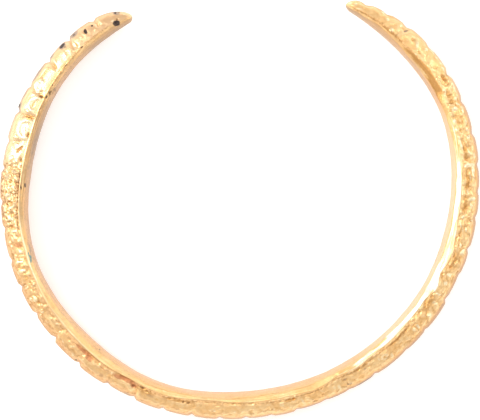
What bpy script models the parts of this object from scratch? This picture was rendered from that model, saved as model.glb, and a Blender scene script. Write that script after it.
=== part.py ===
# Open arm ring of gilt bronze, cast in one piece and lying flat. Its inner face is smooth, a narrow rim
# runs along both sides, and cross notches cut the outer face into rounded blocks with chip carving.

import math
import random

import bmesh
import bpy
from mathutils import Vector

# Run of the band seen from above. A bearing is in degrees, clockwise from the middle of the opening.
INNER_RADIUS = 0.02990
OVAL_SWELL = 0.00090
OVAL_BEARING = 68.5
SPREAD_SWELL = 0.00044
SPREAD_BEARING = 171.0
# Slow bends left by the hammer along the run: cycles in a turn, swing, bearing of a crest
HAMMER_BENDS = ((6.25, 0.00014, 21.0), (7.75, 0.00011, 20.0))
FIRST_TIP_BEARING = 29.9
LAST_TIP_BEARING = 328.1

# Section of the band. Thickness is measured from the inner face outwards, height along the arm.
BAND_THICKNESS = 0.00399
BAND_HEIGHT = 0.00600
INNER_BULGE = 0.00080
UPPER_RIM_WIDTH = 0.00062
LOWER_RIM_WIDTH = 0.00090
RIM_STEP = 0.00013
# Slow swings of the thickness along the run: cycles in a turn, swing, bearing of a crest
THICKNESS_WAVES = ((2.5, 0.00014, -21.0), (6.25, 0.00014, -5.0), (7.75, 0.00012, -2.0))

# Tips, which taper in thickness and height and end in a rounded nose
FIRST_TIP_THICKNESS = 0.00160
FIRST_TAPER_LENGTH = 0.00550
FIRST_NOSE_LENGTH = 0.00120
LAST_TIP_THICKNESS = 0.00120
LAST_TAPER_LENGTH = 0.00275
LAST_NOSE_LENGTH = 0.00080
TIP_HEIGHT = 0.00290
HEIGHT_TAPER_LENGTH = 0.00480
# How far up the thickness the point of each nose sits, as a share
FIRST_NOSE_SET_OUT = 0.42
LAST_NOSE_SET_OUT = 0.65

# Cross notches
NOTCH_COUNT = 40
FIRST_NOTCH_BEARING = 32.0
NOTCH_PITCH = 7.34
# The spacing drifts as the carver went along: cycles over the run, degrees, phase in degrees
SPACING_WAVES = ((2.75, 0.89, 45.0), (4.25, 1.03, -30.0), (4.75, 0.70, -77.0))
NOTCH_DEPTH = 0.00025
NOTCH_DEPTH_SPREAD = 0.00008
NOTCH_SLANT = 0.9  # degrees, most that a notch leans between the rim and the outer edge
BLOCK_CROWN = 0.00010
# Way round the flank, as a share, at which a notch reaches its full depth
NOTCH_RUN_IN = 0.44

# Chip carving on the upper side of the blocks. A place is a centre and a half width, as shares of the
# block's length in ALONG and of the way round the upper flank in ACROSS.
TOOTH_DEPTH = 0.00048
TOOTH_ALONG = (0.5, 0.42)
TOOTH_ACROSS = (0.14, 0.42)
RIB_RISE = 0.00020
RIB_SIDE_DEPTH = 0.00026
RIB_ALONG = (0.5, 0.2)
RIB_SIDES_ALONG = ((0.28, 0.2), (0.72, 0.2))
RIB_ACROSS = (0.32, 0.42)
SCOOP_DEPTH = 0.00044
SCOOP_ALONG = (0.5, 0.45)
TWIN_SCOOPS_ALONG = ((0.28, 0.22), (0.72, 0.22))
SCOOP_ACROSS = (0.28, 0.26)
RIDGE_RISE = 0.00012
RIDGE_ACROSS = (0.6, 0.25)
# The arch is a moat round an oval, whose half axes and width are shares too
ARCH_DEPTH = 0.00040
ARCH_MIDDLE = (0.5, 0.2)
ARCH_HALF_AXES = (0.32, 0.26)
ARCH_MOAT = (1.0, 0.7)
ARCH_ACROSS = (0.3, 0.5)
# Depth of a block's carving beside its neighbours', least and most
CUT_FORCE = (0.75, 1.15)
# Bearing at which a stretch of the carving ends, and the motifs that its blocks take in turn
CARVING = (
    (46.0, ("plain",)),
    (56.0, ("tooth",)),
    (126.0, ("ridge", "twin_ridge")),
    (176.0, ("ridge", "tooth", "twin_ridge")),
    (191.0, ("plain",)),
    (226.0, ("tooth",)),
    (262.0, ("rib",)),
    (280.0, ("twin_ridge",)),
    (304.0, ("arch",)),
    (360.0, ("plain",)),
)
CARVER_SEED = 11

# Fineness of the mesh
BLOCK_STATIONS = (0.0, 0.10, 0.28, 0.50, 0.72, 0.90)
NOSE_STATIONS = (0.10, 0.28, 0.60)
INNER_STATIONS = (0.0, 0.45, 0.80)
UPPER_FLANK_TURNS = (0.0, 13.0, 26.0, 40.0, 54.0, 70.0)
LOWER_FLANK_TURNS = (0.0, 28.0, 58.0)
RIM_ACROSS = -0.1
SHARP_EDGE_ANGLE = 38.0

GOLD = (0.93, 0.60, 0.24, 1.0)
GOLD_ROUGHNESS = 0.32


def clear_scene():
    for old in list(bpy.data.objects):
        bpy.data.objects.remove(old)


def swing(bearing, cycles, crest):
    return math.cos(math.radians(cycles * (bearing - crest)))


def inner_radius(bearing):
    """Distance from the middle of the ring to the bulge of the inner face."""
    radius = INNER_RADIUS
    radius += OVAL_SWELL * swing(bearing, 2, OVAL_BEARING)
    radius += SPREAD_SWELL * swing(bearing, 0.5, SPREAD_BEARING)
    for cycles, bend, crest in HAMMER_BENDS:
        radius += bend * swing(bearing, cycles, crest)
    return radius


def run_length(degrees):
    """Length along the inner face of a stretch of the run."""
    return math.radians(degrees) * INNER_RADIUS


def run_degrees(length):
    return math.degrees(length / INNER_RADIUS)


def tapered(full, at_tip, distance, taper_length):
    return full - (full - at_tip) * math.exp(-distance / taper_length)


def nose_share(distance, nose_length):
    """Share of the full section that is left inside the rounded nose."""
    if distance >= nose_length:
        return 1.0
    return math.sqrt(1.0 - (1.0 - distance / nose_length) ** 2)


def band_size(bearing):
    """Thickness, height and nose share of the band at a bearing."""
    from_first = run_length(bearing - FIRST_TIP_BEARING)
    from_last = run_length(LAST_TIP_BEARING - bearing)
    thickness = BAND_THICKNESS
    for cycles, depth, crest in THICKNESS_WAVES:
        thickness += depth * swing(bearing, cycles, crest)
    thickness = tapered(thickness, FIRST_TIP_THICKNESS, from_first, FIRST_TAPER_LENGTH)
    thickness = tapered(thickness, LAST_TIP_THICKNESS, from_last, LAST_TAPER_LENGTH)
    nearest = min(from_first, from_last)
    height = tapered(BAND_HEIGHT, TIP_HEIGHT, nearest, HEIGHT_TAPER_LENGTH)
    nose = nose_share(from_first, FIRST_NOSE_LENGTH) * nose_share(from_last, LAST_NOSE_LENGTH)
    return thickness, height, nose


def notch_bearing(index):
    bearing = FIRST_NOTCH_BEARING + NOTCH_PITCH * index
    for cycles, drift, phase in SPACING_WAVES:
        turn = math.radians(360.0 * cycles * index / NOTCH_COUNT - phase)
        bearing += drift * math.cos(turn)
    return bearing


def motif_at(bearing, turn):
    for end, motifs in CARVING:
        if bearing < end:
            return motifs[turn % len(motifs)]
    return "plain"


def plan_blocks():
    """One entry for each block, with its two edges, their notches and the motif between them."""
    carver = random.Random(CARVER_SEED)
    edges = [FIRST_TIP_BEARING]
    edges += [notch_bearing(index) for index in range(NOTCH_COUNT)]
    edges.append(LAST_TIP_BEARING)
    depths = [NOTCH_DEPTH + carver.uniform(-1, 1) * NOTCH_DEPTH_SPREAD for _ in edges]
    slants = [carver.uniform(-1, 1) * NOTCH_SLANT for _ in edges]
    depths[0] = depths[-1] = 0.0
    slants[0] = slants[-1] = 0.0
    blocks = []
    for index in range(len(edges) - 1):
        middle = (edges[index] + edges[index + 1]) / 2
        blocks.append({
            "edges": (edges[index], edges[index + 1]),
            "depths": (depths[index], depths[index + 1]),
            "slants": (slants[index], slants[index + 1]),
            "motif": motif_at(middle, index),
            "force": carver.uniform(*CUT_FORCE),
        })
    return blocks


def lump(value, centre, half_width):
    """A smooth lump that is 1 at its centre and 0 beyond its half width."""
    away = abs(value - centre) / half_width
    if away >= 1.0:
        return 0.0
    return 0.5 + 0.5 * math.cos(math.pi * away)


def spike(value, centre, half_width):
    """A straight-sided lump, as a chisel leaves."""
    return max(0.0, 1.0 - abs(value - centre) / half_width)


def motif_relief(motif, share, across):
    """Height of a block's carving at a share of its length and of the way round the upper flank."""
    ridge = RIDGE_RISE * lump(across, *RIDGE_ACROSS)
    if motif == "tooth":
        return -TOOTH_DEPTH * spike(share, *TOOTH_ALONG) * spike(across, *TOOTH_ACROSS)
    if motif == "rib":
        sides = sum(lump(share, *side) for side in RIB_SIDES_ALONG)
        rib = RIB_RISE * lump(share, *RIB_ALONG) - RIB_SIDE_DEPTH * sides
        return rib * lump(across, *RIB_ACROSS)
    if motif == "ridge":
        scoop = lump(share, *SCOOP_ALONG) * lump(across, *SCOOP_ACROSS)
        return ridge - SCOOP_DEPTH * scoop
    if motif == "twin_ridge":
        pair = sum(lump(share, *scoop) for scoop in TWIN_SCOOPS_ALONG)
        return ridge - SCOOP_DEPTH * pair * lump(across, *SCOOP_ACROSS)
    if motif == "arch":
        along = (share - ARCH_MIDDLE[0]) / ARCH_HALF_AXES[0]
        round_flank = (across - ARCH_MIDDLE[1]) / ARCH_HALF_AXES[1]
        moat = lump(math.hypot(along, round_flank), *ARCH_MOAT)
        return -ARCH_DEPTH * moat * lump(across, *ARCH_ACROSS)
    return 0.0


def notch_reach(across):
    """A notch starts just outside the rim and is full over most of the outer face."""
    return min(1.0, max(0.0, across) / NOTCH_RUN_IN)


def notch_relief(block, share, across):
    """Height of the block's crown and of the notches at its two edges."""
    relief = 0.0
    if share == 0.0:
        relief -= block["depths"][0]
    if share == 1.0:
        relief -= block["depths"][1]
    crown = 1.0 - (2.0 * share - 1.0) ** 2
    return (relief + BLOCK_CROWN * crown) * notch_reach(across)


def section_outline(thickness, height):
    """Corners of the plain section as (outward, upward, across, side), starting at the inner bulge.

    across is None on the smooth faces, and runs from 0 at the foot of the rim to 1 at the outer edge. It is
    a little under 0 on the rim's own edge, which the carving bites into. side is the way the carving rises.
    """
    half = height / 2
    slimness = min(1.0, thickness / BAND_THICKNESS)
    bulge = INNER_BULGE * slimness
    step = RIM_STEP * slimness

    def inner_face(rise):
        return [(bulge * share**2, rise * half * share, None, None) for share in INNER_STATIONS]

    def rim(rise, width):
        edge = bulge + width * slimness
        return [(bulge, rise * half, None, None), (edge, rise * half, RIM_ACROSS, (1.0, 0.0))]

    def flank(rise, width, turns):
        foot = bulge + (width + RIM_STEP / 2) * slimness
        corners = []
        for degrees in turns:
            turn = math.radians(degrees)
            side = (math.sin(turn), rise * math.cos(turn))
            outward = foot + (thickness - foot) * math.sin(turn)
            upward = rise * (half - step) * math.cos(turn)
            corners.append((outward, upward, degrees / 90.0, side))
        return corners

    outline = inner_face(1) + rim(1, UPPER_RIM_WIDTH)
    outline += flank(1, UPPER_RIM_WIDTH, UPPER_FLANK_TURNS)
    outline.append((thickness, 0.0, 1.0, (1.0, 0.0)))
    outline += reversed(flank(-1, LOWER_RIM_WIDTH, LOWER_FLANK_TURNS))
    outline += reversed(rim(-1, LOWER_RIM_WIDTH))
    outline += reversed(inner_face(-1)[1:])
    return outline


def nose_set_out(bearing):
    middle = (FIRST_TIP_BEARING + LAST_TIP_BEARING) / 2
    return FIRST_NOSE_SET_OUT if bearing < middle else LAST_NOSE_SET_OUT


def section_points(block, share):
    """Corners of the carved section at a share of the block's length, in the ring's own frame."""
    first, last = block["edges"]
    bearing = first + (last - first) * share
    slant = block["slants"][0] + (block["slants"][1] - block["slants"][0]) * share
    thickness, height, nose = band_size(bearing)
    slimness = min(1.0, thickness / BAND_THICKNESS)
    inset = nose_set_out(bearing) * thickness * (1.0 - nose)
    points = []
    for outward, upward, across, side in section_outline(thickness, height):
        turned = bearing
        if across is not None:
            relief = notch_relief(block, share, across)
            if upward > 0:
                relief += motif_relief(block["motif"], share, across) * block["force"]
            outward += side[0] * relief * slimness
            upward += side[1] * relief * slimness
            turned += slant * (across - 0.5) * notch_reach(across)
        radius = inner_radius(turned) + inset + outward * nose
        angle = math.radians(turned)
        points.append(Vector((
            radius * math.sin(angle),
            radius * math.cos(angle),
            upward * nose + BAND_HEIGHT / 2,
        )))
    return points


def all_sections():
    """Every section of the band, from the first tip to the last one."""
    blocks = plan_blocks()
    sections = []
    for index, block in enumerate(blocks):
        first, last = block["edges"]
        shares = list(BLOCK_STATIONS)
        if index == 0:
            nose = run_degrees(FIRST_NOSE_LENGTH) / (last - first)
            shares = [part * nose for part in NOSE_STATIONS]
            shares += [nose + (1.0 - nose) * part for part in BLOCK_STATIONS]
        if index == len(blocks) - 1:
            nose = run_degrees(LAST_NOSE_LENGTH) / (last - first)
            shares = [(1.0 - nose) * part for part in BLOCK_STATIONS]
            shares += [1.0 - part * nose for part in (1.0,) + tuple(reversed(NOSE_STATIONS))]
        sections += [section_points(block, share) for share in shares]
    return sections


def start_ring(mesh, places):
    """A closed loop of edges through the first section's corners."""
    ring = [mesh.verts.new(place) for place in places]
    for corner, neighbour in zip(ring, ring[1:] + ring[:1]):
        mesh.edges.new((corner, neighbour))
    return ring


def grow_ring(mesh, ring, places):
    """Extrudes a loop of edges and lays the new corners on the next section."""
    edges = [mesh.edges.get(pair) for pair in zip(ring, ring[1:] + ring[:1])]
    grown = bmesh.ops.extrude_edge_only(mesh, edges=edges)["geom"]
    fresh = {item for item in grown if isinstance(item, bmesh.types.BMVert)}
    following = []
    for corner in ring:
        neighbours = [edge.other_vert(corner) for edge in corner.link_edges]
        following += [neighbour for neighbour in neighbours if neighbour in fresh]
    for corner, place in zip(following, places):
        corner.co = place
    return following


def close_tip(mesh, ring, middle):
    """Fills the end of the nose and draws its centre out to a point."""
    cap = mesh.faces.new(ring)
    peak = bmesh.ops.poke(mesh, faces=[cap])["verts"][0]
    peak.co = middle


def tip_point(bearing):
    thickness = band_size(bearing)[0]
    radius = inner_radius(bearing) + nose_set_out(bearing) * thickness
    angle = math.radians(bearing)
    return Vector((radius * math.sin(angle), radius * math.cos(angle), BAND_HEIGHT / 2))


def gilt_bronze():
    material = bpy.data.materials.new("gilt_bronze")
    material.use_nodes = True
    shader = material.node_tree.nodes["Principled BSDF"]
    shader.inputs["Base Color"].default_value = GOLD
    shader.inputs["Metallic"].default_value = 1.0
    shader.inputs["Roughness"].default_value = GOLD_ROUGHNESS
    material.diffuse_color = GOLD
    return material


def centre_on_floor(mesh):
    """Puts the middle of the ring's box over the origin and its lower rim on the floor."""
    lows = [min(corner.co[axis] for corner in mesh.verts) for axis in range(3)]
    highs = [max(corner.co[axis] for corner in mesh.verts) for axis in range(3)]
    shift = Vector((-(lows[0] + highs[0]) / 2, -(lows[1] + highs[1]) / 2, -lows[2]))
    bmesh.ops.translate(mesh, vec=shift, verts=mesh.verts[:])


def build_arm_ring():
    mesh = bmesh.new()
    sections = all_sections()
    ring = start_ring(mesh, sections[0])
    first_ring = ring
    for places in sections[1:]:
        ring = grow_ring(mesh, ring, places)
    close_tip(mesh, list(reversed(first_ring)), tip_point(FIRST_TIP_BEARING))
    close_tip(mesh, ring, tip_point(LAST_TIP_BEARING))
    bmesh.ops.recalc_face_normals(mesh, faces=mesh.faces[:])
    centre_on_floor(mesh)
    data = bpy.data.meshes.new("arm_ring")
    mesh.to_mesh(data)
    mesh.free()
    data.materials.append(gilt_bronze())
    data.shade_smooth()
    data.set_sharp_from_angle(angle=math.radians(SHARP_EDGE_ANGLE))
    arm_ring = bpy.data.objects.new("arm_ring", data)
    bpy.context.scene.collection.objects.link(arm_ring)
    return arm_ring


clear_scene()
build_arm_ring()
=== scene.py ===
# Looks of the open arm ring: gilt bronze, lying flat, seen from straight above.
import math
import random

import bpy
import numpy as np
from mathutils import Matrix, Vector, noise


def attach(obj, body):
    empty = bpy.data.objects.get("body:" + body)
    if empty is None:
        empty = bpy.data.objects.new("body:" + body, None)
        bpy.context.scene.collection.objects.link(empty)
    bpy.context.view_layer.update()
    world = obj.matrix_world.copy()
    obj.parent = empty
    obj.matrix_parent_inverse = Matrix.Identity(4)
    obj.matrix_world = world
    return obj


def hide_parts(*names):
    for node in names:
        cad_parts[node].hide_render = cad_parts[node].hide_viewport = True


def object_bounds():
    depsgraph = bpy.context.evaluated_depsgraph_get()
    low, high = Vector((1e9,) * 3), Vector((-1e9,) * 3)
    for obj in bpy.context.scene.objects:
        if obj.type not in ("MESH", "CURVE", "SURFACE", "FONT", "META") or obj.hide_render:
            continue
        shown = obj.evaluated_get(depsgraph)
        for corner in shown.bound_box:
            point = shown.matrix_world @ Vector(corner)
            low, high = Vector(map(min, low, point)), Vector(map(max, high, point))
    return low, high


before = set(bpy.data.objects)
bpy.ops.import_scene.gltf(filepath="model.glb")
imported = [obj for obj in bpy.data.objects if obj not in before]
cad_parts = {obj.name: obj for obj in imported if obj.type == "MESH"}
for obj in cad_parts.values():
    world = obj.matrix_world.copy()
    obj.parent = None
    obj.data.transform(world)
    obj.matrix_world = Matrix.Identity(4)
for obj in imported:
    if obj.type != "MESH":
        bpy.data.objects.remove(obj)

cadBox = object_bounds()
print("frame loaded")

# Run of the band, repeated from the solid so that the finer mesh lies on it.
# Bearings are degrees clockwise from the middle of the opening, and lengths are in metres.
run = {
    "middle": (0.00003, 0.00309),
    "midHeight": 0.003,
    "tips": (29.9, 328.1),
    "innerRadius": 0.0299,
    # swing, cycles in a turn and bearing of a crest
    "bends": ((0.0009, 2, 68.5), (0.00044, 0.5, 171), (0.00014, 6.25, 21), (0.00011, 7.75, 20)),
    "thickness": 0.00399,
    "thicknessWaves": ((0.00014, 2.5, -21), (0.00014, 6.25, -5), (0.00012, 7.75, -2)),
    "bulge": 0.0008,
    "rimWidth": 0.00062,
    "lowerRimWidth": 0.0009,
    "rimStep": 0.00013,
    "tipThickness": (0.0016, 0.0012),
    "taperLength": (0.0055, 0.00275),
    "noseLength": (0.0012, 0.0008),
    "noseSetOut": (0.42, 0.65),
    "tipHeight": 0.0029,
    "heightTaper": 0.0048,
    "slant": 0.9,
    "carverSeed": 11,
    "mmPerDegree": 0.5585,
}

# One row for each block: bearing of the notch that ends it, its crown and that notch past the plain band
# in mm, and the place across the flank where the notch runs out.
blocks = (
    (34.5, -0.02, -0.48, 0.7), (39.8, -0.03, -0.32, 0.8), (45.9, 0.02, -0.26, 0.6),
    (53.3, 0.12, -0.15, 0.85), (61, 0.06, -0.32, 0.75), (68.7, 0.06, -0.26, 0.5), (76.5, 0.06, -0.2, 0.8),
    (84.2, 0.16, -0.16, 0.65), (90.5, 0.03, -0.16, 0.8), (97.3, 0.04, -0.2, 0.7), (105, 0.05, -0.3, 0.75),
    (111.8, 0.02, -0.2, 0.8), (118, -0.14, -0.28, 0.1), (127, 0.1, -0.15, 0.75), (134.5, 0.04, -0.12, 0.85),
    (143.5, 0.02, -0.28, 0.82), (151, -0.02, -0.17, 0.82), (157.8, -0.05, -0.2, 0.86),
    (165.3, -0.05, -0.24, 0.86), (172.3, 0.07, -0.2, 0.86), (178.8, -0.07, -0.3, 0.84),
    (185, -0.04, -0.3, 0.84), (192.3, 0.03, -0.32, 0.76), (199.5, 0.09, -0.27, 0.78),
    (207.2, 0.19, -0.33, 0.35), (214.5, -0.02, -0.29, 0.25), (222.8, 0.18, -0.32, 0.7),
    (231.2, 0.02, -0.6, 0.72), (238.2, -0.22, -0.52, 0.6), (245.8, -0.12, -0.48, 0.55),
    (252.5, -0.09, -0.43, 0.65), (260.3, -0.16, -0.42, 0.3), (266.8, -0.09, -0.32, 0.6),
    (275, 0.03, -0.34, 0.15), (281.8, -0.05, -0.26, 0.35), (289, 0.08, -0.3, 0.05),
    (295.8, 0.15, -0.16, 0.1), (303.5, 0.09, -0.44, 0.25), (310.8, 0.02, -0.52, 0.15),
    (319, 0.04, -0.38, 0.35), (328.1, 0.06, 0, 0.9),
)


def blockEdges():
    return [run["tips"][0]] + [row[0] for row in blocks]


def notchSlants():
    # how many degrees each notch leans between the rim and the outer edge, none at the tips
    carver = random.Random(run["carverSeed"])
    slants = [carver.uniform(-1, 1) * run["slant"] for _ in blockEdges()]
    return [0] + slants[1:-1] + [0]


def swing(bearing, cycles, crest):
    return np.cos(np.radians(cycles * (bearing - crest)))


def tableAt(bearing, pairs):
    turns, values = zip(*pairs)
    return np.interp(bearing, turns, values)


def innerRadius(bearing):
    bends = [size * swing(bearing, cycles, crest) for size, cycles, crest in run["bends"]]
    return run["innerRadius"] + sum(bends)


def bandSize(bearing):
    # thickness, height and share of the section that is left inside the rounded noses
    fromFirst = np.radians(bearing - run["tips"][0]) * run["innerRadius"]
    fromLast = np.radians(run["tips"][1] - bearing) * run["innerRadius"]
    thickness = run["thickness"]
    for size, cycles, crest in run["thicknessWaves"]:
        thickness = thickness + size * swing(bearing, cycles, crest)
    nose = 1
    for away, tip, taper, length in zip(
        (fromFirst, fromLast), run["tipThickness"], run["taperLength"], run["noseLength"]
    ):
        thickness = thickness - (thickness - tip) * np.exp(-away / taper)
        nose = nose * np.sqrt(np.clip(1 - (1 - np.clip(away / length, 0, 1)) ** 2, 0, 1))
    nearest = np.minimum(fromFirst, fromLast)
    full = 2 * run["midHeight"]
    height = full - (full - run["tipHeight"]) * np.exp(-nearest / run["heightTaper"])
    return thickness, height, nose


def deselectAll():
    if bpy.context.object and bpy.context.object.mode != "OBJECT":
        bpy.ops.object.mode_set(mode="OBJECT")
    bpy.ops.object.select_all(action="DESELECT")


def makeActive(piece):
    deselectAll()
    piece.select_set(True)
    bpy.context.view_layer.objects.active = piece


def smoothEdge(away):
    # 1 at 0, falling softly to 0 at 1
    inside = np.clip(1 - away, 0, 1)
    return inside * inside * (3 - 2 * inside)


# The ring's mesh is one grid wrapped round the band, finer than the solid's

ring = {
    "name": "gilt_ring",
    "node": "arm_ring",
    "slot": "gilt_bronze",
    "perDegree": 4.2,          # sections in a degree of the run
    "bunching": 0.4,           # how far they crowd towards the notches
    "noseSteps": 10,
    # cells round the section: inner face, rim and flank above, then flank, rim and inner face below
    "cells": (9, 6, 44, 9, 2, 5),
    # fall of the rim towards the inner face at each bearing, and how much of it is near that face
    "rimSlope": (
        (60, 0.34), (76, 0.38), (84, 0.42), (146, 0.4), (160, 0.3), (178, 0.26), (250, 0.24), (262, 0.28),
        (329, 0.3),
    ),
    "edgeWander": 0.22,
    # share of the inner face's bulge that shows before the upper rim starts
    "bulgeShown": (
        (29, 1), (42, 0.9), (50, 0.6), (58, 0.46), (66, 0.46), (74, 0.55), (84, 0.6), (134, 0.6),
        (146, 0.75), (156, 0.85), (226, 0.85), (244, 0.6), (258, 0.6), (266, 0.7), (280, 0.6), (302, 0.6),
        (316, 0.85), (329, 1),
    ),
    "rimRounding": ((215, 1), (226, 1.3), (254, 1.3), (262, 1)),
    "flatDepth": 0.000035,     # flats left on the inner face by the hammer
    "rippleDepth": 0.000028,
    "streakDepth": 0.000022,   # fine lines drawn along the rim in finishing
    "grainSize": 0.0009,
    "castGrain": 0.000014,
    "weld": 1e-6,
    "leastFlank": 0.0006,
    "outerRadius": 0.0325,
    "sectionMiddle": 2,        # mm past the inner face
    "turnForNoise": 45,        # degrees round the section for one unit of noise
    "girthReach": 2.6,         # mm round the section for one radian
    "notchWidth": ((29, 0.0009), (70, 0.0008), (90, 0.0006), (110, 0.00055), (130, 0.0005), (329, 0.00055)),
    # how round the crown of a block is: place along it and what it falls by
    "crownFall": ((0.07, 0.00007), (0.22, 0.00002), (0.5, -0.00001), (0.78, 0.00002), (0.93, 0.00007)),
    "crownRunIn": 0.44,
    "notchFade": 0.24,
    # how far the smooth rim reaches into the carving, in mm at each bearing
    "rimReach": (
        (29, -0.3), (34, -0.35), (49, -0.4), (54, -0.14), (58, 0.05), (64, 0.08), (66.4, -0.36), (72, -0.46),
        (80, -0.4), (83, -0.15), (90, -0.2), (98, -0.18), (103, 0.06), (106, 0.4), (109, 0.22),
        (111.4, -0.1), (113, -0.26), (114.4, -0.06), (116, 0.32), (117.6, 0.28), (119, -0.06),
        (120.8, -0.36), (126, -0.34), (134, -0.24), (143, -0.26), (147, -0.08), (150, -0.2), (153.5, -0.38),
        (156, 0), (160, 0.24), (164, 0.02), (176, 0.06), (182, -0.16), (187, -0.4), (191, -0.38),
        (195, -0.12), (200, 0.08), (205, -0.06), (210, -0.22), (218, 0.08), (226, 0.02), (234, -0.06),
        (240, -0.16), (246, -0.42), (250, -0.42), (254, -0.5), (258, -0.36), (264, -0.26), (274, -0.26),
        (284, -0.44), (296, -0.4), (304, -0.38), (312, -0.24), (329, -0.2),
    ),
}


def sectionBearings():
    edges = blockEdges()
    bearings = []
    for first, last in zip(edges, edges[1:]):
        shares = np.linspace(0, 1, max(6, round((last - first) * ring["perDegree"])), endpoint=False)
        shares = shares - ring["bunching"] * np.sin(2 * math.pi * shares) / (2 * math.pi)
        bearings += list(first + (last - first) * shares)
    turns = np.radians(np.linspace(0, 90, ring["noseSteps"] + 1))
    noses = [np.degrees(length / run["innerRadius"]) for length in run["noseLength"]]
    first, last = [nose * (1 - np.cos(turns)) for nose in noses]
    first = run["tips"][0] + first
    last = run["tips"][1] - last[::-1]
    middle = [bearing for bearing in bearings if first[-1] + 0.1 < bearing < last[0] - 0.1]
    return np.concatenate([first, middle, last])


class Band:
    # Where each point of the grid lies: one row for each section, one column for each corner of it
    def __init__(self):
        edges = np.array(blockEdges())
        slants = np.array(notchSlants())
        straight = sectionBearings()[:, None]
        inner, rim, flank, lowFlank, lowRim, lowInner = ring["cells"]
        # zones: 0 inner face, 1 rim, 2 flank; part runs from 0 to 1 inside each
        zones = [0] * inner + [1] * rim + [2] * (flank + 1) + [2] * lowFlank + [1] * lowRim + [0] * lowInner
        part = np.concatenate([
            np.linspace(0, 1, inner, endpoint=False), np.linspace(0, 1, rim),
            np.linspace(0, 1, flank + 1), np.linspace(1, 0, lowFlank + 1)[1:],
            np.linspace(1, 0, lowRim), np.linspace(1, 0, lowInner + 1)[1:],
        ])[None, :]
        self.zone = np.array(zones)[None, :] + 0 * straight.astype(int)
        side = np.ones(len(zones))
        side[inner + rim + flank + 1:] = -1
        self.side = side[None, :]
        turn = np.where(self.zone == 2, part * 90, 0)
        self.turn = np.radians(turn)
        self.share = np.clip(turn / 90, 0, 1)
        slant = np.interp(straight, edges, slants)
        self.risen = np.clip(self.share / ring["crownRunIn"], 0, 1) * (self.zone == 2)
        self.bearing = straight + slant * (self.share - 0.5) * self.risen
        self.thickness, self.height, self.nose = bandSize(self.bearing)
        slim = np.minimum(1, self.thickness / run["thickness"])
        self.slim = slim
        half = self.height / 2
        bulge = run["bulge"] * slim
        grown = self.atBearing(ring["rimReach"]) / 1000
        width = np.where(self.side > 0, run["rimWidth"] + grown, run["lowerRimWidth"]) * slim
        step = run["rimStep"] * slim
        foot = bulge + width + step / 2
        # the edge between the inner face and the rim wanders a little
        shown = self.atBearing(ring["bulgeShown"]) * (1 + ring["edgeWander"] * self.wander())
        rimStart = bulge * np.where(self.side > 0, shown, 1)
        drop = np.where(self.side > 0, (bulge + width - rimStart) * self.atBearing(ring["rimSlope"]), 0)
        self.out = np.choose(self.zone, [
            rimStart * part**2,
            rimStart + (bulge + width - rimStart) * part,
            foot + (self.thickness - foot) * np.sin(self.turn),
        ])
        self.rise = self.side * np.choose(self.zone, [
            (half - drop) * part,
            half - drop * (1 - part) ** self.atBearing(ring["rimRounding"]),
            (half - step) * np.cos(self.turn),
        ])
        # 0 where the carving starts and 1 at the outer edge of the band, as seen from above
        self.width = np.maximum(self.thickness - foot, ring["leastFlank"])
        self.across = (self.out - foot) / self.width
        self.girth = np.arctan2(self.out * 1000 - ring["sectionMiddle"], self.rise * 1000)
        self.upper = self.side > 0
        self.outline(straight, edges)
        self.place = self.placed(0)

    def atBearing(self, pairs):
        return tableAt(self.bearing, pairs)

    def wander(self):
        waves = ((0.5, 0.31, 1), (0.35, 0.83, 0), (0.2, 1.9, 0))
        return sum(size * np.sin(self.bearing * times + start) for size, times, start in waves)

    def outline(self, straight, edges):
        # crowns of the blocks and the notches between them, past the plain band
        crowns = [row[1] / 1000 for row in blocks]
        spots, swells = [], []
        for first, last, crown in zip(edges, edges[1:], crowns):
            spots += [first + place * (last - first) for place, _ in ring["crownFall"]]
            swells += [crown - fall for _, fall in ring["crownFall"]]
        self.crown = np.interp(straight, spots, swells)
        notches = np.array([row[0] for row in blocks[:-1]])
        bottoms = np.array([row[2] / 1000 for row in blocks[:-1]])
        ends = np.array([row[3] for row in blocks[:-1]])
        nearest = np.abs(straight - notches[None, :]).argmin(axis=1)[:, None]
        away = np.radians(np.abs(straight - notches[nearest])) * ring["outerRadius"]
        fade = ring["notchFade"]
        runOut = 1 - smoothEdge((self.across - ends[nearest] + fade / 2) / fade)
        reach = tableAt(straight, ring["notchWidth"])
        self.cut = np.clip(1 - away / reach, 0, 1) * (self.crown - bottoms[nearest]) * runOut

    def placed(self, relief):
        # places of the points once the surface is raised by the relief
        sideways = np.choose(self.zone, [-1 + 0 * self.turn, 0 * self.turn, np.sin(self.turn)])
        upwards = np.choose(self.zone, [0 * self.turn, 1 + 0 * self.turn, np.cos(self.turn)]) * self.side
        out = self.out + sideways * relief * self.slim
        rise = self.rise + upwards * relief * self.slim
        firstHalf = self.bearing < sum(run["tips"]) / 2
        inset = np.where(firstHalf, *run["noseSetOut"]) * self.thickness * (1 - self.nose)
        radius = innerRadius(self.bearing) + inset + out * self.nose
        angle = np.radians(self.bearing)
        return np.stack([
            run["middle"][0] + radius * np.sin(angle),
            run["middle"][1] + radius * np.cos(angle),
            run["midHeight"] + rise * self.nose,
        ], axis=-1)


band = Band()
innerFace = band.zone == 0
flank = band.zone == 2
upperFlank = flank & band.upper
upperRim = (band.zone == 1) & band.upper
print("grid planned:", band.out.shape[0], "sections of", band.out.shape[1], "corners")


# Fine carving: strokes of the chisel laid on the blocks of the upper side.
# Each stroke has its kind, bearing, place across the flank, half length along the run and half width
# across it in mm, turn in degrees, and depth in mm.

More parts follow.
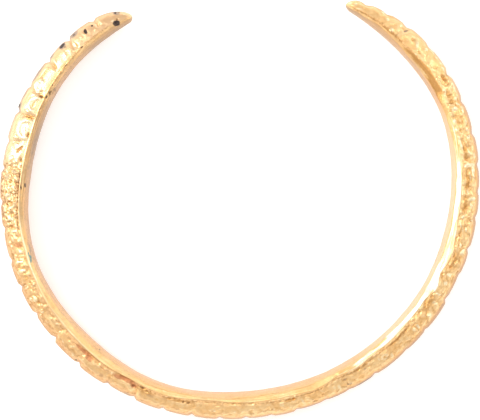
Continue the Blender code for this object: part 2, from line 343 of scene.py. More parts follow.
# dents in the rim and the inner face, which the carving doesn't reach
dentStrokes = (
    ("pit", 323.3, -0.06, 0.5, 0.36, 0, 0.26), ("pit", 291.6, -0.08, 0.5, 0.16, 0, 0.08),
    ("pit", 295.2, -0.1, 0.45, 0.24, 0, 0.1), ("pit", 297, -0.2, 0.9, 0.26, 0, 0.08),
    ("pit", 299, -0.06, 0.36, 0.18, 0, 0.08), ("pit", 305.2, -0.06, 0.5, 0.18, 0, 0.09),
    ("pit", 312, -0.04, 0.45, 0.18, 0, 0.09), ("pit", 319.2, -0.02, 0.26, 0.16, 0, 0.08),
    ("pit", 153.6, -0.12, 0.8, 0.16, 0, 0.08), ("knob", 151.5, -0.12, 0.6, 0.14, 0, 0.05),
    ("knob", 166.7, -0.1, 0.6, 0.16, 0, 0.05), ("knob", 223.5, -0.09, 1.5, 0.13, 2, 0.07),
    ("pit", 270.6, -0.1, 0.6, 0.14, 0, 0.05), ("pit", 251.4, -0.16, 0.6, 0.24, 0, 0.04),
)

carvedStrokes = (
    # rounded lobe and first blocks after the first tip
    ("knob", 30.7, 0.48, 0.3, 0.3, 0, 0.1), ("knob", 32.2, 0.5, 0.26, 0.24, 0, 0.1),
    ("pit", 31.8, 0.1, 0.3, 0.24, 0, 0.14), ("knob", 33.6, 0.2, 0.5, 0.12, -15, 0.06),
    ("knob", 39.2, 0.85, 0.34, 0.2, 0, 0.1), ("knob", 41.2, 0.55, 0.25, 0.26, 0, 0.16),
    ("knob", 44.7, 0.72, 0.24, 0.24, 0, 0.14), ("knob", 43.8, 0.14, 0.32, 0.44, -20, 0.18),
    ("cut", 46.5, 0.66, 0.2, 0.5, 20, 0.16), ("pit", 49.3, 0.55, 0.34, 0.3, 0, 0.16),
    ("bar", 51, 0.47, 0.17, 0.62, -38, 0.15), ("knob", 52.6, 0.04, 0.26, 0.12, 0, 0.08),
    ("knob", 53.3, 0.68, 0.32, 0.3, 0, 0.15), ("knob", 54.6, 0.88, 0.6, 0.18, 0, 0.1),
    ("pit", 52.8, 0.24, 0.4, 0.3, 0, 0.12), ("pit", 58.2, 0.27, 0.24, 0.14, 30, 0.12),
    ("knob", 56.4, 0.8, 0.28, 0.18, 0, 0.1), ("knob", 58, 0.82, 0.38, 0.2, 0, 0.12),
    ("knob", 59.4, 0.74, 0.38, 0.2, 0, 0.12),
    # bright crest at the outer third, with scoops under it
    ("pit", 61.6, 0.5, 0.8, 0.45, 0, 0.2), ("bar", 64.6, 0.76, 0.17, 1.21, 88, 0.14),
    ("bar", 67.2, 0.68, 0.16, 0.5, -40, 0.12), ("bar", 68.8, 0.66, 0.16, 0.44, 42, 0.12),
    ("bar", 70.6, 0.75, 0.16, 0.83, 90, 0.14), ("pit", 65.6, 0.3, 0.8, 0.5, 0, 0.14),
    ("pit", 67.8, 0.32, 0.45, 0.6, 0, 0.2), ("bar", 69.7, 0.36, 0.31, 0.66, 0, 0.17),
    ("bow", 64.8, 0.04, 0.5, 0.3, 0, 0.08), ("cut", 71.3, 0.28, 0.18, 0.45, 0, 0.14),
    ("knob", 72.6, 0.13, 0.36, 0.34, 0, 0.2), ("pit", 73.2, 0.56, 0.36, 0.18, 0, 0.14),
    ("bar", 73.6, 0.69, 0.13, 0.55, 84, 0.1), ("pit", 75.2, 0.3, 0.5, 0.3, 0, 0.12),
    ("knob", 75.4, 0.65, 0.26, 0.22, 0, 0.13), ("knob", 77.3, 0.62, 0.34, 0.28, 0, 0.18),
    ("cut", 79, 0.56, 0.13, 0.7, 80, 0.14), ("bar", 78.2, 0.14, 0.2, 1.43, 86, 0.14),
    ("cut", 80.2, 0.28, 0.14, 0.6, 84, 0.14), ("bar", 80.9, 0.5, 0.16, 0.55, 70, 0.1),
    ("knob", 82, 0.72, 0.52, 0.2, 0, 0.16), ("pit", 82.5, 0.38, 0.5, 0.4, 0, 0.18),
    ("bar", 84.2, 0.4, 0.34, 1.1, 0, 0.12), ("bar", 86, 0.62, 0.2, 1.1, 88, 0.19),
    ("bar", 87.2, 0.46, 0.14, 0.66, 80, 0.1), ("pit", 86.6, 0.28, 0.8, 0.3, 0, 0.14),
    ("cut", 89.4, 0.42, 0.14, 0.9, 76, 0.16), ("cut", 89, 0.24, 0.13, 0.8, 80, 0.14),
    ("bar", 90.6, 0.32, 0.14, 0.55, 76, 0.1), ("bar", 92.6, 0.58, 0.29, 0.46, -10, 0.18),
    ("pit", 92.2, 0.2, 0.5, 0.3, 0, 0.16), ("bar", 94.2, 0.57, 0.14, 0.55, 80, 0.11),
    ("pit", 94.7, 0.34, 0.45, 0.35, 0, 0.18), ("knob", 97.3, 0.24, 0.34, 0.26, 0, 0.15),
    ("knob", 97.8, 0.76, 0.28, 0.22, 0, 0.12), ("bar", 99.2, 0.14, 0.14, 0.77, 70, 0.12),
    ("bar", 100.2, 0.28, 0.14, 0.55, 70, 0.1), ("cut", 98.6, 0.36, 0.13, 0.5, 76, 0.12),
    ("knob", 100.3, 0.5, 0.36, 0.22, 0, 0.17), ("pit", 101.8, 0.2, 0.5, 0.26, 10, 0.16),
    ("pit", 103.2, 0.22, 0.3, 0.2, 0, 0.14), ("knob", 104.5, 0.34, 0.42, 0.19, 0, 0.16),
    ("bar", 105.9, 0.54, 0.2, 0.61, -60, 0.17), ("pit", 107.5, 0.14, 0.45, 0.22, 0, 0.16),
    ("pit", 110.3, 0.3, 0.42, 0.3, 0, 0.18), ("bar", 112.4, 0.44, 0.27, 0.46, 4, 0.22),
    ("bar", 114.7, 0.44, 0.26, 0.46, -28, 0.2), ("bar", 118, 0.3, 0.17, 0.61, 0, 0.17),
    ("pit", 119.4, 0.12, 0.4, 0.28, 0, 0.2), ("pit", 121.6, 0.12, 0.5, 0.26, 0, 0.18),
    ("bar", 120.4, 0.48, 0.26, 0.55, 0, 0.07), ("pit", 122.4, 0.38, 0.4, 0.3, 0, 0.1),
    ("knob", 123.7, 0.6, 0.32, 0.36, 0, 0.17), ("pit", 124.6, 0.16, 0.3, 0.22, 0, 0.18),
    # softer blocks with bosses
    ("bar", 127.7, 0.52, 0.22, 0.46, 12, 0.18), ("knob", 128.9, 0.46, 0.4, 0.34, 0, 0.07),
    ("pit", 131, 0.46, 0.3, 0.2, 0, 0.1), ("cut", 134.2, 0.49, 0.15, 0.8, 86, 0.1),
    ("pit", 130.8, 0.2, 0.4, 0.16, 0, 0.12), ("pit", 133.4, 0.2, 0.4, 0.19, 0, 0.14),
    ("pit", 135.2, 0.19, 0.4, 0.19, 0, 0.14), ("bar", 137.5, 0.6, 0.2, 0.4, 16, 0.18),
    ("knob", 137.9, 0.66, 0.2, 0.12, 0, 0.08), ("bow", 139.3, 0.44, 0.6, 0.42, 0, 0.13),
    ("pit", 139.3, 0.44, 0.3, 0.18, 0, 0.1), ("bar", 140.8, 0.36, 0.14, 0.33, 0, 0.11),
    ("bar", 143.7, 0.2, 0.13, 0.22, 0, 0.1), ("pit", 145.2, 0.34, 0.3, 0.25, 0, 0.08),
    ("pit", 146.7, 0.16, 0.4, 0.17, 0, 0.14), ("cut", 148.8, 0.17, 0.12, 0.6, 80, 0.1),
    ("pit", 150.3, 0.69, 0.2, 0.14, 0, 0.08), ("pit", 151, 0.6, 0.2, 0.14, 0, 0.08),
    ("pit", 151.2, 0.3, 0.45, 0.17, 0, 0.1), ("bar", 153.3, 0.56, 0.21, 0.46, -6, 0.18),
    ("bar", 154.6, 0.44, 0.17, 0.33, -10, 0.1), ("cut", 153.6, 0.04, 0.12, 0.6, 90, 0.1),
    ("cut", 161.5, 0.1, 0.12, 0.9, 86, 0.1), ("bar", 163.4, 0.54, 0.17, 0.77, -18, 0.14),
    ("pit", 165.6, 0.2, 0.3, 0.22, 0, 0.18), ("pit", 167, 0.2, 0.6, 0.22, 0, 0.16),
    ("bow", 169, 0.35, 0.34, 0.28, 0, 0.1), ("knob", 171.2, 0.54, 0.26, 0.1, 0, 0.07),
    ("knob", 172.6, 0.25, 0.4, 0.14, 0, 0.05),
    # flat worn blocks, with long chips beside the rim
    ("knob", 179.3, 0.52, 0.18, 0.13, 0, 0.1), ("knob", 181.2, 0.52, 0.15, 0.2, 0, 0.11),
    ("bow", 187, 0.52, 0.5, 0.26, 0, 0.07), ("knob", 186.7, 0.52, 0.2, 0.11, 0, 0.07),
    ("pit", 190.2, 0.32, 0.13, 0.11, 0, 0.08), ("pit", 193.4, 0.22, 0.4, 0.22, 0, 0.16),
    ("pit", 194.8, 0.18, 0.3, 0.26, 0, 0.18), ("pit", 196.3, 0.22, 0.2, 0.16, 0, 0.12),
    ("pit", 197.1, 0.08, 0.25, 0.13, 0, 0.12), ("pit", 198.5, 0.13, 0.4, 0.15, 0, 0.1),
    ("pit", 201.5, 0.4, 0.35, 0.2, 0, 0.1), ("pit", 203.3, 0.35, 0.5, 0.25, 0, 0.06),
    ("pit", 204.6, 0.18, 0.35, 0.2, 0, 0.16), ("pit", 206, 0.11, 0.5, 0.19, 0, 0.18),
    ("pit", 208.3, 0.27, 0.45, 0.32, 0, 0.22), ("wedge", 211.2, 0.15, 1.75, 0.4, 0, 0.32),
    ("bar", 214.7, 0.19, 0.12, 0.34, 0, 0.15), ("pit", 216.5, 0.6, 0.5, 0.3, 0, 0.06),
    ("wedge", 222.5, 0.18, 2.1, 0.38, 0, 0.28), ("pit", 223.8, 0.85, 0.2, 0.14, 0, 0.1),
    ("knob", 225.2, 0.7, 0.4, 0.2, 20, 0.08),
    # cross ribs
    ("bar", 226.6, 0.38, 0.17, 0.34, 25, 0.1), ("knob", 229.2, 0.58, 0.17, 0.17, 0, 0.11),
    ("knob", 230.2, 0.64, 0.15, 0.13, 0, 0.09), ("knob", 231.4, 0.38, 0.13, 0.17, 0, 0.1),
    ("bar", 233.5, 0.2, 0.16, 0.34, 28, 0.13), ("bar", 237.6, 0.74, 0.13, 0.26, -30, 0.13),
    ("bar", 237.9, 0.47, 0.15, 0.3, -25, 0.11), ("knob", 239.5, 0.28, 0.17, 0.2, 0, 0.1),
    ("pit", 240.5, 0.38, 0.4, 0.3, 0, 0.16), ("bar", 241.5, 0.45, 0.2, 0.46, 0, 0.16),
    ("knob", 242, 0.67, 0.4, 0.24, 0, 0.13), ("bar", 245, 0.6, 0.14, 0.42, -6, 0.17),
    ("bar", 245.7, 0.64, 0.13, 0.3, 0, 0.13), ("bar", 244.9, 0.17, 0.15, 0.36, -30, 0.12),
    ("pit", 245.8, 0.3, 0.25, 0.2, 0, 0.12), ("pit", 247.2, 0.38, 0.5, 0.4, 0, 0.08),
    ("bar", 249.2, 0.44, 0.2, 0.75, 14, 0.19), ("knob", 248.8, 0.7, 0.45, 0.17, 0, 0.13),
    ("bar", 251.5, 0.45, 0.17, 0.75, 10, 0.19), ("pit", 253.6, 0.72, 0.5, 0.2, 0, 0.14),
    ("bar", 253.8, 0.22, 0.3, 0.5, 14, 0.1), ("wedge", 255.6, 0.28, 0.55, 0.7, 16, 0.22),
    ("knob", 255.8, 0.67, 0.22, 0.14, 0, 0.13), ("knob", 257.3, 0.5, 0.4, 0.3, 0, 0.06),
    ("bar", 259.3, 0.34, 0.22, 0.62, 0, 0.19),
    # pitted blocks with an undercut beside the rim
    ("cut", 262, 0.07, 0.12, 2.8, 93, 0.18), ("cut", 271.5, 0.03, 0.12, 4.8, 90, 0.18),
    ("pit", 260.6, 0.5, 0.3, 0.5, 0, 0.14), ("bar", 262.4, 0.45, 0.25, 0.6, 0, 0.14),
    ("pit", 263.6, 0.35, 0.24, 0.4, 0, 0.14), ("knob", 264.6, 0.72, 0.2, 0.15, 0, 0.11),
    ("knob", 265.5, 0.77, 0.2, 0.13, 0, 0.11), ("bar", 265.4, 0.35, 0.15, 0.6, 0, 0.17),
    ("pit", 266.6, 0.45, 0.36, 0.5, 0, 0.16), ("knob", 268.4, 0.55, 0.42, 0.55, 0, 0.18),
    ("knob", 268.8, 0.2, 0.24, 0.17, 0, 0.1), ("cut", 269.4, 0.68, 0.14, 0.25, 0, 0.14),
    ("knob", 270.3, 0.5, 0.3, 0.4, 0, 0.16), ("pit", 271.8, 0.46, 0.36, 0.34, 0, 0.18),
    ("knob", 273.1, 0.62, 0.45, 0.34, 0, 0.18), ("bar", 274.3, 0.32, 0.14, 0.5, 8, 0.14),
    # arches and an oval ring, the boldest of the carving
    ("knob", 278.2, 0.64, 1.3, 0.4, 6, 0.1), ("pit", 277.3, 0.1, 0.4, 0.24, 0, 0.22),
    ("cut", 280.2, 0.28, 0.26, 0.85, -52, 0.26), ("bar", 281.2, 0.5, 0.17, 0.5, 0, 0.12),
    ("arch", 285.5, 0.22, 1.75, 1.6, 0, 0.18), ("arch", 284.8, 0.06, 0.95, 0.9, 0, 0.08),
    ("knob", 286.9, 0.62, 0.6, 0.36, 30, 0.1), ("pit", 284.3, 0.08, 0.24, 0.22, 0, 0.2),
    ("pit", 285.6, 0.24, 0.34, 0.3, 0, 0.12), ("arch", 292.4, 0.26, 1.4, 1, 8, 0.16),
    ("knob", 291, 0.6, 0.85, 0.42, 12, 0.12), ("bar", 293.4, 0.34, 0.2, 0.7, -48, 0.12),
    ("pit", 292.2, 0.3, 0.55, 0.28, 6, 0.1), ("cut", 294.9, 0.16, 0.24, 0.45, 0, 0.22),
    ("arch", 297, 0.48, 0.95, 0.85, -10, 0.16), ("knob", 298.4, 0.5, 0.45, 0.6, 0, 0.12),
    ("knob", 296.4, 0.36, 0.35, 0.26, 0, 0.08), ("wedge", 300.4, 0.36, 1.4, 0.95, 180, 0.1),
    # smooth blocks before the last tip, with slanting lines
    ("bar", 304.1, 0.42, 0.2, 0.95, 28, 0.17), ("bar", 307.4, 0.36, 0.2, 0.7, 22, 0.09),
    ("knob", 306.7, 0.12, 0.25, 0.16, 0, 0.08), ("bar", 310.8, 0.42, 0.22, 0.95, 16, 0.15),
    ("pit", 315.5, 0.52, 0.26, 0.42, 28, 0.16), ("pit", 317.8, 0.6, 0.16, 0.16, 0, 0.12),
    ("bar", 318.6, 0.5, 0.14, 0.5, 10, 0.08), ("knob", 322.8, 0.22, 0.2, 0.16, 0, 0.1),
    ("pit", 324, 0.2, 0.26, 0.3, 20, 0.14), ("knob", 326.4, 0.5, 0.15, 0.15, 0, 0.09),
)


def strokeShape(kind, along, over):
    if kind in ("pit", "knob"):
        return smoothEdge((np.hypot(along, over) - 0.2) / 0.8) * (-1 if kind == "pit" else 1)
    if kind in ("bar", "cut"):
        ends = smoothEdge(np.abs(over) * 1.25 - 0.25)
        return np.clip(1 - np.abs(along), 0, 1) * ends * (-1 if kind == "cut" else 1)
    if kind == "wedge":
        deep = np.clip(0.5 - 0.5 * over, 0, 1) * (np.abs(over) < 1)
        return -np.clip(1 - np.abs(along), 0, 1) * deep
    # a bow is a closed loop, and an arch is open towards the rim
    loop = smoothEdge(np.abs(np.hypot(along, over) - 0.75) / 0.25)
    return loop * (1 if kind == "bow" else np.clip(over * 2 + 0.9, 0, 1))


def localPlace(bearing, across, turn):
    # mm from a spot on the flank, along and across a mark that is turned by some degrees
    along = (band.bearing - bearing) * run["mmPerDegree"]
    over = (band.across - across) * band.width * 1000
    turn = math.radians(turn)
    return along * math.cos(turn) - over * math.sin(turn), over * math.cos(turn) + along * math.sin(turn)


def layStrokes(group):
    relief = np.zeros(band.out.shape)
    for kind, bearing, across, halfLength, halfWidth, turn, depth in group:
        along, over = localPlace(bearing, across, turn)
        relief += strokeShape(kind, along / halfLength, over / halfWidth) * depth / 1000
    return relief


def noiseField(scale, seed):
    shift = Vector((seed * 3.7, seed * 1.3, seed * 2.1))
    points = band.place.reshape(-1, 3) / scale
    return np.array([noise.noise(Vector(point) + shift) for point in points]).reshape(band.out.shape)


def runField(alongScale, overScale, seed):
    # noise drawn out along the run of the band
    along = (band.bearing * run["mmPerDegree"] / alongScale).reshape(-1)
    girth = (np.degrees(band.girth) / ring["turnForNoise"] / overScale).reshape(-1)
    values = [noise.noise(Vector((a, g, seed * 5.3))) for a, g in zip(along, girth)]
    return np.array(values).reshape(band.out.shape)


def chipField(scale, seed):
    # small flat chips: each cell of a Voronoi pattern leans its own way
    shift = Vector((seed, seed, seed))
    lean = []
    for point in band.place.reshape(-1, 3) / scale:
        spot = Vector(point) + shift
        centre = noise.voronoi(spot)[1][0]
        way = noise.cell_vector(centre * 7.3) * 2 - Vector((1, 1, 1))
        lean.append((spot - centre).dot(way))
    return np.array(lean).reshape(band.out.shape)


# how rough the carved facets are at each bearing
facets = {
    "layers": ((0.00105, 0.00026, 3), (0.00052, 0.00014, 8)),    # size, depth and seed of the cells
    "strength": (
        (29, 0.25), (46, 0.3), (58, 0.35), (62, 0.8), (124, 0.8), (140, 0.6), (176, 0.45), (182, 0.35),
        (226, 0.4), (236, 0.5), (260, 0.6), (263, 1.3), (275, 1.3), (278, 0.5), (282, 0.2), (303, 0.15),
        (328, 0.15),
    ),
    # a hollow along the middle of the flank, under the crest at its outer third
    "hollow": (
        (57, 0), (61, 0.6), (66, 0.8), (104, 0.8), (112, 0.5), (126, 0.35), (150, 0.25), (176, 0.1),
        (190, 0), (228, 0.1), (262, 0.25), (276, 0.2), (290, 0),
    ),
    "hollowDepth": 0.00018,
    # place of the crest across the flank, how far it sways, its half width and its rise
    "crestPlace": 0.67,
    "crestSway": 0.05,
    "crestHalf": 0.09,
    "crestRise": 0.00006,
    # where the smooth outer strip of the flank starts, as a share of it
    "stripStart": (
        (29, 0.94), (58, 0.9), (64, 0.76), (124, 0.73), (140, 0.8), (226, 0.84), (276, 0.92), (329, 0.9),
    ),
    # thin ridge where the rim meets the flank: share of its rise at each bearing, place, half width and rise
    "ridge": (
        (216, 0), (222, 0.8), (226, 0.6), (233, 0.7), (238, 0.45), (244, 0.5), (247, 0.9), (256, 1),
        (262, 0.8), (268, 0.5), (274, 0.3), (277, 0),
    ),
    "ridgePlace": -0.05,
    "ridgeHalf": 0.08,
    "ridgeRise": 0.0001,
    # height and depth of a stroke that count as fully raised and fully sunk
    "raisedFull": 0.00007,
    "sunkFull": 0.00014,
}


def carvedRelief():
    across = band.across
    relief = struck.copy()
    hollow = band.atBearing(facets["hollow"])
    crestPlace = facets["crestPlace"] + facets["crestSway"] * runField(1.6, 9.0, 6)
    valley = (1 - smoothEdge((across - 0.04) / 0.4)) * smoothEdge((across - crestPlace + 0.15) / 0.13)
    crest = smoothEdge(np.abs(across - crestPlace) / facets["crestHalf"])
    wave = 0.8 + 0.7 * runField(0.9, 9.0, 5)
    relief += hollow * wave * (crest * facets["crestRise"] - valley * facets["hollowDepth"])
    chips = sum(chipField(cell, seed) * depth for cell, depth, seed in facets["layers"])
    relief += chips * band.atBearing(facets["strength"]) * withinStrip
    relief *= upperFlank * (1 - smoothEdge(across / 0.05))
    # crowns of the blocks all the way round the outer face, and the notches between them
    relief += band.crown * band.risen - band.cut * flank
    hammered = runField(5.0, 1.2, 2) * ring["flatDepth"] + runField(1.6, 0.6, 12) * ring["rippleDepth"]
    drawn = runField(2.4, 0.22, 15) * ring["streakDepth"]
    relief += ~flank * hammered
    relief += ~flank * (dents + drawn + ridge * facets["ridgeRise"])
    relief += noiseField(ring["grainSize"], 4) * ring["castGrain"]
    return relief


def spread(values, alongTimes, overTimes):
    # softens an array, more times for a wider blur
    for axis, times in ((0, alongTimes), (1, overTimes)):
        for _ in range(times):
            padded = np.concatenate([values.take([0], axis), values, values.take([-1], axis)], axis)
            count = values.shape[axis]
            before, after = padded.take(range(count), axis), padded.take(range(2, count + 2), axis)
            values = values / 2 + (before + after) / 4
    return values


def makeRing(places):
    rows, columns = band.out.shape
    deselectAll()
    bpy.ops.mesh.primitive_grid_add(x_subdivisions=columns - 1, y_subdivisions=rows - 1, size=1)
    piece = bpy.context.object
    piece.name = ring["name"]
    flat = np.zeros(len(piece.data.vertices) * 3)
    piece.data.vertices.foreach_get("co", flat)
    flat = flat.reshape(-1, 3)
    column = np.rint((flat[:, 0] + 0.5) * (columns - 1)).astype(int)
    row = np.rint((flat[:, 1] + 0.5) * (rows - 1)).astype(int)
    places = places[row, column]
    places[:, 2] = np.clip(places[:, 2], cadBox[0][2], cadBox[1][2])
    piece.data.vertices.foreach_set("co", places.reshape(-1))
    piece.data.update()
    return piece, row, column


dents = layStrokes(dentStrokes) * band.upper
struck = layStrokes(carvedStrokes)
withinStrip = smoothEdge((band.across - band.atBearing(facets["stripStart"]) + 0.05) / 0.15)
struck *= withinStrip
ridge = smoothEdge(np.abs(band.across - facets["ridgePlace"]) / facets["ridgeHalf"])
ridge *= band.atBearing(facets["ridge"]) * band.upper
relief = carvedRelief()
piece, gridRow, gridColumn = makeRing(band.placed(relief))
print("fine carving cut:", len(piece.data.polygons), "faces")


# Masks that the finish reads: stains, painted shade, tones by bearing, hollows and worn edges with a painted
# highlight

stainsAndShade = {
    # bearing, place across the flank, half length and half width in mm, turn, strength
    "dark": (
        (58.2, 0.27, 0.26, 0.15, 30, 0.65), (190.2, 0.32, 0.14, 0.12, 0, 0.55),
        (193.4, 0.22, 0.45, 0.24, 0, 0.5), (194.8, 0.18, 0.3, 0.28, 0, 0.55),
        (197.1, 0.08, 0.26, 0.13, 0, 0.45), (199, -0.4, 0.18, 0.12, 0, 0.5),
        (204.6, 0.18, 0.4, 0.2, 0, 0.45), (206.2, 0.11, 0.6, 0.19, 0, 0.6), (208.3, 0.28, 0.4, 0.28, 0, 0.5),
        (221, -0.48, 0.26, 0.13, 20, 0.7), (223.7, 0.86, 0.2, 0.15, 0, 0.75),
        (262, 0.07, 2.8, 0.09, 3, 0.75), (271.5, 0.03, 4.8, 0.09, 0, 0.75), (271.5, 0.03, 1.6, 0.14, 0, 0.7),
        (260.6, 0.5, 0.26, 0.45, 0, 0.4), (269.4, 0.68, 0.14, 0.26, 0, 0.6),
        (271.8, 0.46, 0.3, 0.3, 0, 0.45), (270.4, -0.09, 0.6, 0.12, -6, 0.8),
        (270.9, -0.27, 0.5, 0.12, -10, 0.9), (270.3, -0.17, 0.5, 0.4, 0, 0.35),
        (277.3, 0.1, 0.38, 0.22, 0, 0.6), (280.2, 0.28, 0.22, 0.8, -52, 0.45),
        (284.3, 0.07, 0.22, 0.18, 0, 0.6), (288.9, 0.35, 0.14, 0.8, 0, 0.35),
        (290.6, 0.95, 0.5, 0.24, 0, 0.75), (308.8, 0.86, 0.62, 0.36, -10, 1.1),
        (309, 0.68, 0.34, 0.34, 10, 0.55), (312.8, 0.84, 0.4, 0.24, 0, 0.6),
        (315.5, 0.52, 0.3, 0.54, 28, 1.2), (317.8, 0.6, 0.22, 0.22, 0, 1), (323.3, -0.06, 0.66, 0.5, 0, 1.5),
        (324, 0.2, 0.24, 0.32, 20, 0.65), (324.6, 0.8, 0.22, 0.36, 30, 0.8),
        (325.6, 0.78, 0.18, 0.28, 30, 0.6), (291.6, -0.06, 0.5, 0.14, 0, 0.6),
        (294.9, 0.14, 0.18, 0.42, 0, 0.75), (295.3, -0.12, 0.42, 0.22, 0, 0.75),
        (296.6, -0.18, 0.75, 0.26, 0, 0.65), (297.8, -0.28, 0.85, 0.22, 0, 0.5),
        (299, -0.07, 0.32, 0.16, 0, 0.7), (305.2, -0.06, 0.48, 0.16, 0, 0.65),
        (306.2, -0.3, 0.85, 0.18, 0, 0.4), (312, -0.04, 0.42, 0.16, 0, 0.65),
        (315.6, -0.06, 0.22, 0.13, 0, 0.5), (319.2, 0, 0.22, 0.13, 0, 0.5),
    ),
    "grey": (
        (46.5, 0.68, 0.22, 0.55, 20, 0.95), (290.4, 0.92, 1, 0.44, 0, 1), (293.5, 0.95, 1.3, 0.3, 0, 0.7),
        (299.8, 0.93, 1.9, 0.4, 0, 0.9), (305, 0.93, 0.8, 0.4, 0, 0.9), (308.8, 0.82, 0.8, 0.56, -10, 0.9),
        (312.8, 0.87, 1, 0.56, 0, 1.05), (324.8, 0.78, 0.6, 0.5, 20, 1), (316.5, 0.96, 0.6, 0.2, 0, 0.5),
        (120.3, 0.86, 1, 0.22, 0, 0.45), (131, 0.98, 1.8, 0.14, 0, 0.6), (139, 0.98, 2.2, 0.14, 0, 0.7),
        (146.8, 0.96, 1.9, 0.22, 0, 1), (155.5, 0.98, 2, 0.16, 0, 0.7), (162, 0.98, 2, 0.14, 0, 0.6),
        (145.2, 0.34, 0.4, 0.26, 0, 0.55), (150.6, 0.66, 0.55, 0.24, 0, 0.7), (151.2, 0.3, 0.5, 0.2, 0, 0.6),
        (148, -0.62, 1, 0.16, 0, 0.55), (169.5, -0.55, 0.9, 0.14, -8, 0.4), (165, -0.6, 1.2, 0.12, 0, 0.35),
        (203.3, 0.36, 0.8, 0.32, 0, 0.5), (208.8, 0.88, 0.7, 0.24, 0, 0.55), (214, 0.92, 0.4, 0.22, 0, 0.55),
        (216.5, 0.6, 0.5, 0.34, 0, 0.45), (211, -0.2, 1, 0.16, 0, 0.35), (254.2, -0.24, 1.3, 0.18, 0, 0.6),
        (282, -0.28, 2.6, 0.22, 0, 0.6), (276, -0.24, 1.4, 0.2, 0, 0.45), (299, -0.28, 2.2, 0.16, 0, 0.45),
    ),
    "red": (
        (208.3, 0.26, 0.52, 0.36, 0, 0.95), (210.4, 0.14, 2.1, 0.38, 0, 0.95),
        (213, 0.22, 0.85, 0.32, 0, 0.85), (217.5, 0.22, 1.2, 0.12, 10, 0.55),
        (221.6, 0.3, 0.75, 0.3, 0, 0.85), (223.6, 0.16, 2.1, 0.3, 0, 0.9), (240.5, 0.38, 0.42, 0.32, 0, 0.4),
        (255.6, 0.28, 0.6, 0.75, 16, 0.65), (280.2, 0.25, 0.32, 0.9, -52, 0.5),
    ),
    # not stains but painted shade, laid in the flank's hollows and along darker stretches of the rim
    "deep": (
        (36.5, 0.02, 2.2, 0.2, 0, 0.65), (45, 0, 3.2, 0.24, 0, 0.75), (52.4, -0.12, 2.4, 0.4, 0, 0.95),
        (56.8, -0.16, 4, 0.6, 0, 1), (63, -0.26, 3.6, 0.74, 0, 1), (62, 0.45, 1, 0.7, 20, 0.6),
        (66.8, 0.34, 1.3, 0.8, 0, 0.6), (70.5, -0.14, 3.2, 0.44, 0, 0.6), (72.8, 0.36, 0.9, 0.6, 0, 0.5),
        (80.5, 0.32, 1.9, 0.5, 8, 0.7), (88.6, 0.32, 1.9, 0.44, 12, 0.8), (94, 0.26, 1.9, 0.44, 0, 0.75),
        (101, 0.2, 1.9, 0.36, 10, 0.6), (108.5, 0.24, 2.2, 0.6, 0, 0.65), (121.2, 0.24, 2, 0.7, 0, 0.7),
        (133.5, 0.16, 3.2, 0.5, 0, 0.65), (146, 0.12, 3, 0.36, 0, 0.65), (151.4, 0.3, 0.8, 0.4, 20, 0.6),
        (166.4, 0.22, 1.4, 0.34, 0, 0.75), (182, 0.04, 5, 0.2, 0, 0.5), (196, 0.12, 3.4, 0.4, 0, 0.7),
        (205.5, 0.2, 2.4, 0.6, 0, 0.7), (241, 0.2, 1.2, 0.5, 0, 0.5), (262, 0.02, 4, 0.16, 0, 0.7),
        (284.2, 0.06, 0.7, 0.4, 0, 0.8), (288.8, 0.3, 0.3, 1.2, 0, 0.8), (295, 0.12, 0.5, 0.7, 0, 0.8),
        (303, 0.02, 8, 0.2, 0, 0.55),
    ),
    "green": (
        (251.4, -0.17, 0.8, 0.24, 8, 0.75), (252.7, -0.14, 0.5, 0.15, 0, 0.7),
    ),
}


def stainAndShadeMask(group):
    mask = np.zeros(band.out.shape)
    for bearing, across, halfLength, halfWidth, turn, strength in stainsAndShade[group]:
        along, over = localPlace(bearing, across, turn)
        away = np.hypot(along / halfLength, over / halfWidth)
        mask = np.maximum(mask, strength * smoothEdge((away - 0.35) / 0.85))
    # stains and painted shade near the outer edge fade out below it
    return mask * np.clip(1 + band.rise / 0.0009, 0, 1)


# tones of the inner face and of the rims, by bearing
insideTones = {
    "brown": (
        (29, 1), (34, 0.75), (50, 0.55), (62, 0.5), (72, 0.1), (80, 0), (150, 0), (200, 0.05), (235, 0),
        (250, 0.1), (268, 0.28), (285, 0.85), (300, 0.25), (310, 0.45), (316, 0.85), (329, 0.7),
    ),
    # painted light where the key light falls on the inner face
    "pale": (
        (29, 0), (62, 0.1), (78, 0.7), (88, 1), (132, 1), (146, 0.35), (180, 0.25), (205, 0.08), (222, 0.1),
        (232, 0.3), (262, 0.3), (272, 0),
    ),
    "mottled": (
        (29, 0.35), (62, 0.15), (80, 0.1), (140, 0.35), (180, 0.4), (222, 0.6), (240, 0.8), (270, 0.8),
        (284, 1),
    ),
    "onRim": 0.45,             # how much of these three shows on the upper rim too
    "rimBrown": (
        (176, 0), (190, 0.15), (214, 0.18), (226, 0.1), (236, 0.25), (250, 0.2), (262, 0.5), (278, 0.62),
        (292, 0.55), (304, 0.3), (316, 0.35),
    ),
    # the part of the upper rim that gets a painted highlight
    "rimLit": (
        (62, 0), (76, 0.5), (84, 0.9), (98, 0.8), (103, 0.45), (110, 0.6), (113, 1.2), (134, 1.2),
        (140, 0.75), (148, 0.8), (153, 0.3), (164, 0.1), (218, 0), (228, 0.15), (260, 0.15), (268, 0),
    ),
}
